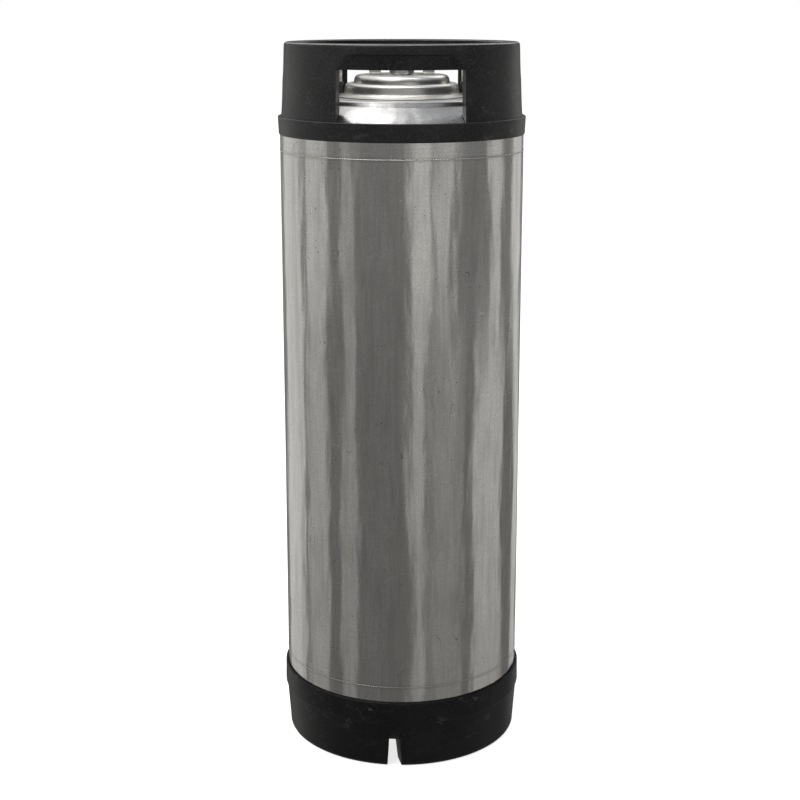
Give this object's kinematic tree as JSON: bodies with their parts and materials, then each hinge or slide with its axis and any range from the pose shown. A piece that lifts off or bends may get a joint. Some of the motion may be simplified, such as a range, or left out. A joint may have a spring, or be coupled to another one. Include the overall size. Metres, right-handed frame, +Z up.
{
  "type": "beverage keg",
  "caption": "Tall steel cylinder keg with a rubber top chime and base boot, hand windows, an oval lid clamped by a bail, and two valve posts.",
  "frame": {"origin": "centre of the base, on the surface that the keg stands on", "axes": "+Z up along the keg's axis; -Y towards the front hand window; +X towards the liquid post and -X towards the gas post"},
  "size_m": [0.2214, 0.2214, 0.6385],
  "materials": {
    "brushed_stainless": "used brushed stainless steel with faint vertical stains and scratches",
    "polished_stainless": "bright pressed stainless steel",
    "turned_stainless": "machined stainless steel",
    "spring_wire": "drawn stainless spring wire",
    "moulded_rubber": "satin black moulded rubber, lightly scuffed",
    "seal_rubber": "smooth black seal rubber",
    "black_vinyl": "black vinyl end cap"
  },
  "bodies": {
    "keg": {"body_wall": "brushed_stainless", "top_head": "brushed_stainless", "bottom_head": "brushed_stainless", "lid_collar": "brushed_stainless", "top_chime": "moulded_rubber", "base_boot": "moulded_rubber", "gas_port": "turned_stainless", "liquid_port": "turned_stainless", "gas_post": "turned_stainless", "liquid_post": "turned_stainless", "gas_post_seal": "seal_rubber", "liquid_post_seal": "seal_rubber", "gas_tube_seal": "seal_rubber", "liquid_tube_seal": "seal_rubber", "gas_dip_tube": "turned_stainless", "liquid_dip_tube": "turned_stainless", "gas_poppet_spring": "spring_wire", "liquid_poppet_spring": "spring_wire"},
    "lid": {"lid_plate": "polished_stainless", "lid_seal": "seal_rubber", "bail_saddle_left": "polished_stainless", "bail_saddle_right": "polished_stainless", "relief_bung": "turned_stainless", "relief_body": "turned_stainless", "relief_cap": "turned_stainless", "relief_spring": "spring_wire"},
    "bail": {"bail_handle": "polished_stainless", "bail_foot_left": "black_vinyl", "bail_foot_right": "black_vinyl"},
    "relief": {"relief_stem": "turned_stainless", "relief_seal": "seal_rubber"},
    "ring": {"pull_ring": "spring_wire"},
    "gas_valve": {"gas_poppet": "turned_stainless", "gas_poppet_seal": "seal_rubber"},
    "liquid_valve": {"liquid_poppet": "turned_stainless", "liquid_poppet_seal": "seal_rubber"}
  },
  "joints": [
    {"name": "lid_drop", "type": "slide", "parent": "keg", "child": "lid", "axis": [0, 0, -1], "range_m": [0, 0.00523]},
    {"name": "bail_swing", "type": "hinge", "parent": "lid", "child": "bail", "pos_m": [0, 0, 0.6175], "axis": [1, 0, 0], "range_deg": [0, 100]},
    {"name": "relief_lift", "type": "slide", "parent": "lid", "child": "relief", "axis": [0, 0, 1], "range_m": [0, 0.0025], "stiffness_N_per_m": 2500, "springref_m": -0.0012, "deforming": ["relief_spring"]},
    {"name": "ring_swing", "type": "hinge", "parent": "relief", "child": "ring", "pos_m": [0, 0, 0.6262], "axis": [-1, 0, 0], "range_deg": [0, 100]},
    {"name": "gas_valve_press", "type": "slide", "parent": "keg", "child": "gas_valve", "axis": [0, 0, -1], "range_m": [0, 0.003], "stiffness_N_per_m": 1200, "springref_m": -0.002, "deforming": ["gas_poppet_spring"]},
    {"name": "liquid_valve_press", "type": "slide", "parent": "keg", "child": "liquid_valve", "axis": [0, 0, -1], "range_m": [0, 0.003], "stiffness_N_per_m": 1200, "springref_m": -0.002, "deforming": ["liquid_poppet_spring"]}
  ],
  "couplings": [
    {"joint": "bail_swing", "follows": "lid_drop", "rad_per_m": 333.33}
  ]
}
